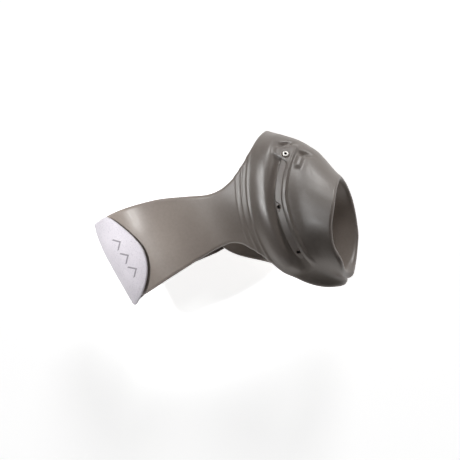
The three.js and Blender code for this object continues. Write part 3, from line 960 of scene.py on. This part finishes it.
def brushed_fabric(name, dark, light, speck=0.5):
    """Napped fabric; a higher speck leaves more of it flecked."""
    n = Nodes(name)
    tuft = n.noise(1900, 5.0, 0.7)
    fibre = n.noise(4200, 3.0, 0.6, stretch=(1.0, 0.35, 1.0))
    broad = n.noise(90, 2.0)
    cells = n.add("ShaderNodeTexVoronoi", Scale=1500.0)
    n.link(n.where, cells.inputs["Vector"])
    flecks = n.ramp(n.remap(tuft, 0, 1, 0.32, 0.62),
                    (0.0, (0.78, 0.77, 0.8, 1)), (speck, grey(1)), (1.0, grey(1.02)))
    n.set(Base_Color=n.mix(1.0, n.tones(broad, dark, light), flecks, "MULTIPLY"),
          Roughness=n.remap(fibre, 0.8, 0.95), Specular_IOR_Level=0.2,
          Sheen_Weight=0.35, Sheen_Roughness=0.5)
    n.bumps([(tuft, 0.00022, 0.55), (fibre, 0.00008, 0.4), (cells.outputs["Distance"], 0.0001, 0.3)])
    return n.material


def woven(name, dark, light):
    """Elastic web: cords along the strap crossed by a fine weft."""
    n = Nodes(name)

    def wave(scale, direction):
        node = n.add("ShaderNodeTexWave", wave_type="BANDS", bands_direction=direction,
                     wave_profile="SIN", Scale=scale, Distortion=0.4, Detail=1.0)
        n.link(n.where, node.inputs["Vector"])
        return node.outputs["Fac"]

    warp, weft, rise = wave(330, "X"), wave(520, "Y"), wave(520, "Z")
    fuzz = n.noise(3000, 4.0, 0.7)
    weave = n.mix(0.5, warp, n.mix(0.5, weft, rise))
    tone = n.ramp(weave, (0.25, dark), (0.75, light))
    shade = n.tones(fuzz, grey(0.85), grey(1.05))
    n.set(Base_Color=n.mix(1.0, tone, shade, "MULTIPLY"), Roughness=n.remap(fuzz, 0.78, 0.92),
          Specular_IOR_Level=0.25, Sheen_Weight=0.15)
    n.bumps([(weave, 0.00025, 0.6), (fuzz, 0.0001, 0.4)])
    return n.material


def twisted(name, dark, light):
    n = Nodes(name)
    strand = n.noise(2600, 2.0, 0.5)
    n.set(Base_Color=n.tones(strand, dark, light), Roughness=0.7, Specular_IOR_Level=0.3)
    n.bumps([(strand, 0.00012, 0.6)])
    return n.material


def moulded_hooks(name, dark, light):
    n = Nodes(name)
    grain = n.noise(2000, 3.0)
    n.set(Base_Color=n.tones(grain, dark, light), Roughness=n.remap(grain, 0.4, 0.6),
          Specular_IOR_Level=0.5)
    n.bumps([(grain, 0.00004, 0.3)])
    return n.material


SHELL = elastomer("moulded_elastomer", srgb(141, 131, 124), srgb(152, 142, 134))
STRIP = elastomer("coated_strip", srgb(146, 136, 129), srgb(158, 148, 141), 0.48)
RING = metal("bright_ring", srgb(240, 236, 230), 0.3, 0.3)
# darker copy of the ring metal: painted shade for the eyelets that sit low in the strip
RING_PAINTED_SHADE = metal("ring_metal_painted_shade", srgb(96, 86, 80), 0.4, 0.6)
# painted shade: near-black colour for the eyelet bores in place of a deep hole's shade
BORE_PAINTED_SHADE = painted_shade_black("eyelet_bore_painted_shade")
EYELET_SHAPES = {  # level of the seat, outer and bore radius, metal of the ring; the middle and palmar rings take a darker copy of the ring metal with painted shade
    "radial": (3.05, 1.25, 0.52, RING),
    "middle": (1.85, 0.95, 0.66, RING_PAINTED_SHADE),
    "palmar": (2.35, 1.0, 0.66, RING_PAINTED_SHADE),
}
WHITE = brushed_fabric("white_brushed", srgb(214, 209, 216), srgb(228, 223, 230))
PILE = brushed_fabric("loop_pile", srgb(84, 77, 73), srgb(104, 96, 91), 0.4)
WEB = woven("elastic_web", srgb(92, 84, 79), srgb(140, 130, 123))
GREY_THREAD = twisted("thread_grey", srgb(150, 140, 133), srgb(190, 180, 172))
WHITE_THREAD = twisted("thread_white", srgb(205, 200, 206), srgb(240, 236, 240))
PRINT = elastomer("grey_print", srgb(150, 145, 152), srgb(166, 161, 168), 0.6)
HOOKS = moulded_hooks("hook_plastic", srgb(196, 192, 198), srgb(222, 218, 224))


def dress(obj, *materials):
    for material in materials:
        obj.data.materials.append(material)
    return obj


def place_pieces():
    shell = dress(build_shell(), SHELL)
    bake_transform(shell)
    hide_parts("thumb_cuff", "palmar_band")

    stay = dress(build_stay(), STRIP)
    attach(stay, "cuff")
    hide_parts("malleable_stay")
    for name, at in EYELETS.items():
        seat, outer, bore, ring = EYELET_SHAPES[name]
        eyelet = dress(build_eyelet(name, at, seat, outer, bore), ring, BORE_PAINTED_SHADE)
        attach(eyelet, "cuff")
        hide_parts("stay_eyelet_" + name)

    strap = dress(build_strap(), WEB)
    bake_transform(strap)
    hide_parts("strap_dorsal_run", "strap_ulnar_run")
    for stitches in build_anchor_stitching():
        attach(dress(stitches, GREY_THREAD), "cuff")

    tab = dress(build_tab(), WHITE)
    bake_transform(tab)
    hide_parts("closure_tab")
    for stitches in build_tab_stitching():
        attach(dress(stitches, WHITE_THREAD), "tab")
    mark = dress(build_mark(), PRINT)
    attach(mark, "tab")
    hooks = dress(build_hook_patch(), HOOKS)
    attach(hooks, "tab")
    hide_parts("hook_patch")
    heads = dress(build_hooks(), HOOKS)
    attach(heads, "tab")

    pile = dress(build_loop_patch(), PILE)
    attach(pile, "palm_band")
    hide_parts("loop_patch")


# ---- stage, light and camera -----------------------------------------------------------------
ROLL = math.radians(57.3)
RIGHT = Vector((math.cos(ROLL), math.sin(ROLL), 0))
UP = Vector((-math.sin(ROLL), math.cos(ROLL), 0))
BACK = Vector((0, 0, 1))


FLOOR_SIDE = 3.0
FLOOR_Z = -0.0105  # clear of the tab when it hangs open


def add_floor():
    mesh = bpy.data.meshes.new("floor")
    corners = [(x * FLOOR_SIDE, y * FLOOR_SIDE, FLOOR_Z) for x, y in ((-1, -1), (1, -1), (1, 1), (-1, 1))]
    mesh.from_pydata(corners, [], [(0, 1, 2, 3)])
    floor = bpy.data.objects.new("floor", mesh)
    bpy.context.scene.collection.objects.link(floor)
    n = Nodes("pale_floor")
    n.set(Base_Color=n.ramp(n.noise(3.0, 1.0), (0.0, grey(0.93)), (1.0, grey(0.95))), Roughness=0.9,
          Specular_IOR_Level=0.1, Emission_Color=(1, 1, 1, 1), Emission_Strength=0.8)
    floor.data.materials.append(n.material)


def add_lamp(name, data, towards, distance, power, aim):
    """Lamp aimed at a place, both given by image right, image up and towards the camera."""
    direction = (RIGHT * towards[0] + UP * towards[1] + BACK * towards[2]).normalized()
    across = UP.cross(direction).normalized()
    turn = Matrix((across, direction.cross(across), direction)).transposed()
    place = RIGHT * aim[0] + UP * aim[1] + BACK * aim[2] + direction * distance
    data.energy = power
    lamp = bpy.data.objects.new(name, data)
    lamp.matrix_world = Matrix.Translation(place) @ turn.to_4x4()
    bpy.context.scene.collection.objects.link(lamp)
    return lamp


def add_softbox(name, towards, distance, width, power):
    data = bpy.data.lights.new(name, "AREA")
    data.shape = "DISK"
    data.size = width
    return add_lamp(name, data, towards, distance, power, aim=(0.015, 0.01, 0.03))


def add_spot(name, towards, distance, power, aim, degrees, soft_size):
    data = bpy.data.lights.new(name, "SPOT")
    data.spot_size, data.spot_blend = math.radians(degrees), 1.0
    data.shadow_soft_size = soft_size
    return add_lamp(name, data, towards, distance, power, aim)


def add_camera():
    data = bpy.data.cameras.new("camera")
    data.sensor_width, data.lens = 36, 142.278
    data.clip_start, data.clip_end = 0.05, 20
    camera = bpy.data.objects.new("camera", data)
    place = Vector((0.0043, -0.0005, 0.732))
    camera.matrix_world = Matrix.Translation(place) @ Matrix((RIGHT, UP, BACK)).transposed().to_4x4()
    bpy.context.scene.collection.objects.link(camera)
    bpy.context.scene.camera = camera


SHEENS = (  # name, power, direction and aim of the narrow lamps that only give highlights
    ("lip_sheen_radial", 13.5, (-0.28, 0.61, 0.73), (0.0146, 0.02, 0.046)),
    ("lip_sheen_middle", 13.5, (-0.39, 0.29, 0.88), (0.0142, 0.011, 0.047)),
    ("lip_sheen_palmar", 13.5, (-0.52, -0.1, 0.84), (0.016, 0.002, 0.046)),
    ("ridge_sheen_radial", 12.0, (-0.62, 0.46, 0.63), (0.0215, 0.018, 0.047)),
    ("ridge_sheen_palmar", 10.0, (-0.7, 0.0, 0.71), (0.0235, 0.002, 0.046)),
)


def light_stage():
    scene = bpy.context.scene
    scene.view_settings.view_transform = "Standard"
    scene.world = bpy.data.worlds.new("studio")
    scene.world.use_nodes = True
    background = scene.world.node_tree.nodes["Background"]
    background.inputs["Color"].default_value = (1, 1, 1, 1)
    background.inputs["Strength"].default_value = 0.09

    add_softbox("key", (0.15, 0.85, 0.5), 0.75, width=0.22, power=1.65)
    top = add_softbox("top_sheen", (0.45, 0.85, 0.27), 0.7, width=0.25, power=2.8)
    top.visible_diffuse = False
    for name, power, towards, aim in SHEENS:
        sheen = add_spot(name, towards, 0.65, power, aim, degrees=4.6, soft_size=0.02)
        sheen.visible_diffuse = False
    add_spot("band_spot", (-0.5, 0.12, 0.85), 0.5, 12.0, (-0.04, -0.006, 0.035), degrees=10.5,
             soft_size=0.03)


place_pieces()
add_floor()
add_camera()
light_stage()
